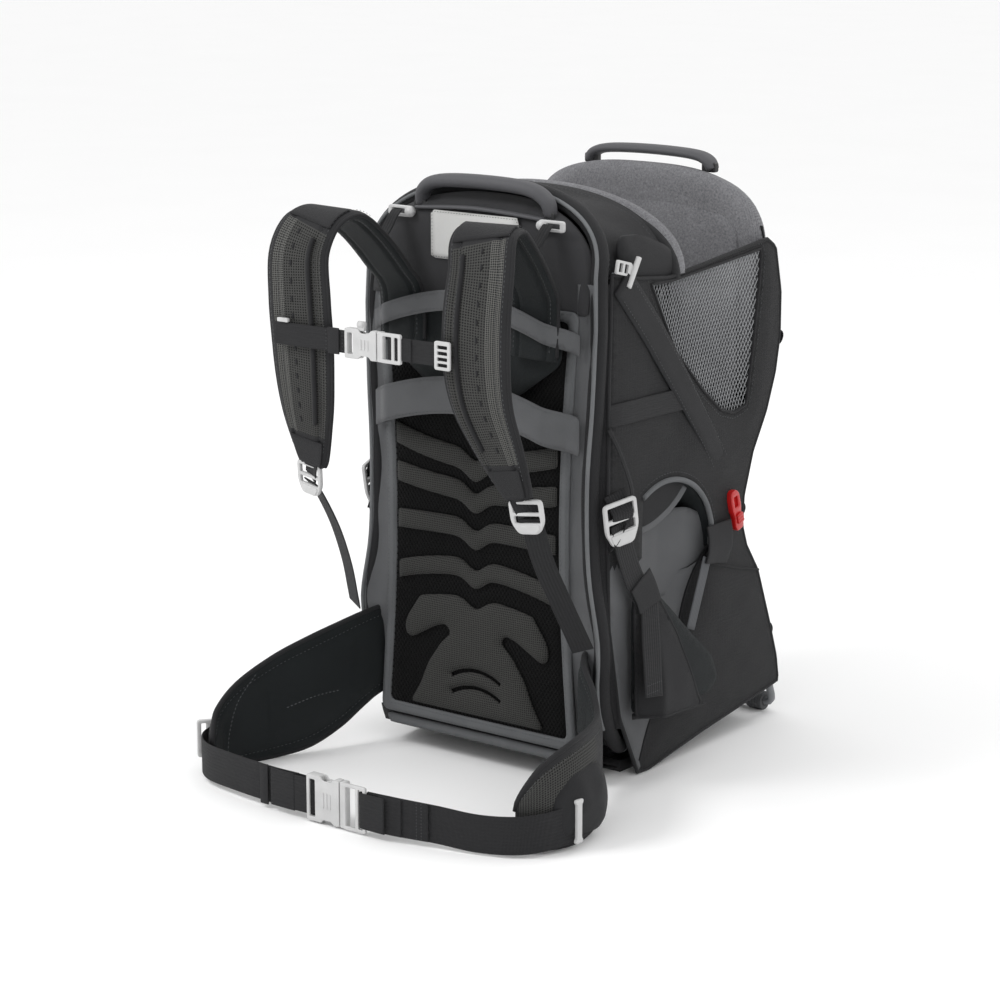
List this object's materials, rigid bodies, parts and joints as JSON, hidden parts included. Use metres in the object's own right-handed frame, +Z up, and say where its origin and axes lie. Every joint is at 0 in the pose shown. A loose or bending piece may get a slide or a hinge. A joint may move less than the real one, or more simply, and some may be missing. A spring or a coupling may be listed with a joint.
{
  "type": "baby carrier backpack",
  "caption": "Framed child carrier worn on the back, with an open cockpit, suspended back panel, shoulder harness, hip belt and folding kickstand.",
  "frame": {"origin": "on the ground, in the middle of the front skid's underside", "axes": "+Z up; the wearer stands on the -Y side and the child sits on the +Y side; +X is the wearer's left"},
  "size_m": [0.529, 0.6895, 0.7107],
  "materials": {
    "frame_metal": "grey powder-coated aluminium tube",
    "pin_metal": "plain steel pin",
    "black_plastic": "moulded nylon skid",
    "body_fabric": "charcoal ripstop nylon",
    "window_mesh": "open hexagonal polyester mesh",
    "knit_fabric": "grey melange brushed knit over foam",
    "trim_fabric": "mid-grey woven polyester",
    "back_mesh": "black suspension mesh",
    "foam_mesh": "perforated foam under spacer mesh",
    "grip_plastic": "soft grey moulded grip",
    "buckle_plastic": "light grey acetal",
    "pad_fabric": "padded charcoal fabric with dark lining",
    "webbing": "woven polyester webbing",
    "rubber": "grey rubber sleeve",
    "latch_plastic": "red acetal"
  },
  "bodies": {
    "root": {"frame_upright_left": "frame_metal", "frame_upright_right": "frame_metal", "frame_top_bar": "frame_metal", "frame_base_bar": "frame_metal", "base_skid": "black_plastic", "base_tray": "body_fabric", "hinge_brackets": "frame_metal", "hinge_pins": "pin_metal", "side_struts": "frame_metal", "rear_posts": "frame_metal", "cockpit_hoop": "frame_metal", "side_panel_left": "body_fabric", "side_panel_right": "body_fabric", "side_mesh_left": "window_mesh", "side_mesh_right": "window_mesh", "front_wall": "knit_fabric", "back_cushion": "knit_fabric", "rear_panel": "body_fabric", "bag_front": "body_fabric", "top_cowl": "body_fabric", "upper_back_panel": "body_fabric", "panel_trim": "trim_fabric", "back_mesh": "back_mesh", "rib_pads": "foam_mesh", "lumbar_pad": "foam_mesh", "ladder_bands": "trim_fabric", "front_handle": "grip_plastic", "rear_handle": "grip_plastic", "lifter_hooks": "buckle_plastic", "side_hooks": "buckle_plastic", "hip_wing_left": "pad_fabric", "hip_wing_right": "pad_fabric", "hip_webbing_left": "webbing", "hip_webbing_right": "webbing", "hip_web_guides": "buckle_plastic", "hip_buckle_female": "buckle_plastic", "stirrup_locks": "buckle_plastic", "child_straps": "pad_fabric"},
    "hip_plug": {"hip_buckle_male": "buckle_plastic"},
    "harness": {"harness_yoke": "pad_fabric", "shoulder_strap_left": "pad_fabric", "shoulder_strap_right": "pad_fabric", "strap_locks": "buckle_plastic", "lower_webbings": "webbing", "lifter_webbings": "webbing"},
    "sternum": {"sternum_webbings": "webbing", "sternum_sliders": "buckle_plastic", "sternum_buckle_female": "buckle_plastic"},
    "sternum_plug": {"sternum_buckle_male": "buckle_plastic"},
    "kickstand": {"kickstand_tube": "frame_metal", "kickstand_feet": "rubber", "rear_lower_panel": "body_fabric"},
    "latch_left": {"latch_left": "latch_plastic"},
    "latch_right": {"latch_right": "latch_plastic"},
    "stirrup_left": {"stirrup_left": "body_fabric"},
    "stirrup_right": {"stirrup_right": "body_fabric"},
    "seat": {"seat_pad": "trim_fabric", "crotch_strap": "webbing", "child_buckle": "grip_plastic"},
    "seat_button": {"child_buckle_button": "latch_plastic"}
  },
  "joints": [
    {"name": "kickstand_fold", "type": "hinge", "parent": "root", "child": "kickstand", "pos_m": [0, 0.188, 0.29], "axis": [-1, 0, 0], "range_deg": [0, 34]},
    {"name": "latch_left_slide", "type": "slide", "parent": "root", "child": "latch_left", "axis": [0, -0.309, 0.9511], "range_m": [0, 0.008], "stiffness_N_per_m": 120, "springref_m": -0.002},
    {"name": "latch_right_slide", "type": "slide", "parent": "root", "child": "latch_right", "axis": [0, -0.309, 0.9511], "range_m": [0, 0.008], "stiffness_N_per_m": 120, "springref_m": -0.002},
    {"name": "harness_height", "type": "slide", "parent": "root", "child": "harness", "axis": [0, 0, 1], "range_m": [0, 0.04]},
    {"name": "sternum_height", "type": "slide", "parent": "harness", "child": "sternum", "axis": [0, 0, 1], "range_m": [-0.03, 0.03]},
    {"name": "sternum_plug_pull", "type": "slide", "parent": "sternum", "child": "sternum_plug", "axis": [1, 0, 0], "range_m": [0, 0.026]},
    {"name": "hip_plug_pull", "type": "slide", "parent": "root", "child": "hip_plug", "axis": [1, 0, 0], "range_m": [0, 0.032]},
    {"name": "stirrup_left_swing", "type": "hinge", "parent": "root", "child": "stirrup_left", "pos_m": [0.1835, 0, 0.318], "axis": [0, -1, 0], "range_deg": [0, 60]},
    {"name": "stirrup_right_swing", "type": "hinge", "parent": "root", "child": "stirrup_right", "pos_m": [-0.1835, 0, 0.318], "axis": [0, 1, 0], "range_deg": [0, 60]},
    {"name": "seat_height", "type": "slide", "parent": "root", "child": "seat", "axis": [0, 0, 1], "range_m": [0, 0.05]},
    {"name": "buckle_button_press", "type": "slide", "parent": "seat", "child": "seat_button", "axis": [0, 1, 0], "range_m": [0, 0.0025], "stiffness_N_per_m": 400, "springref_m": -0.001}
  ]
}
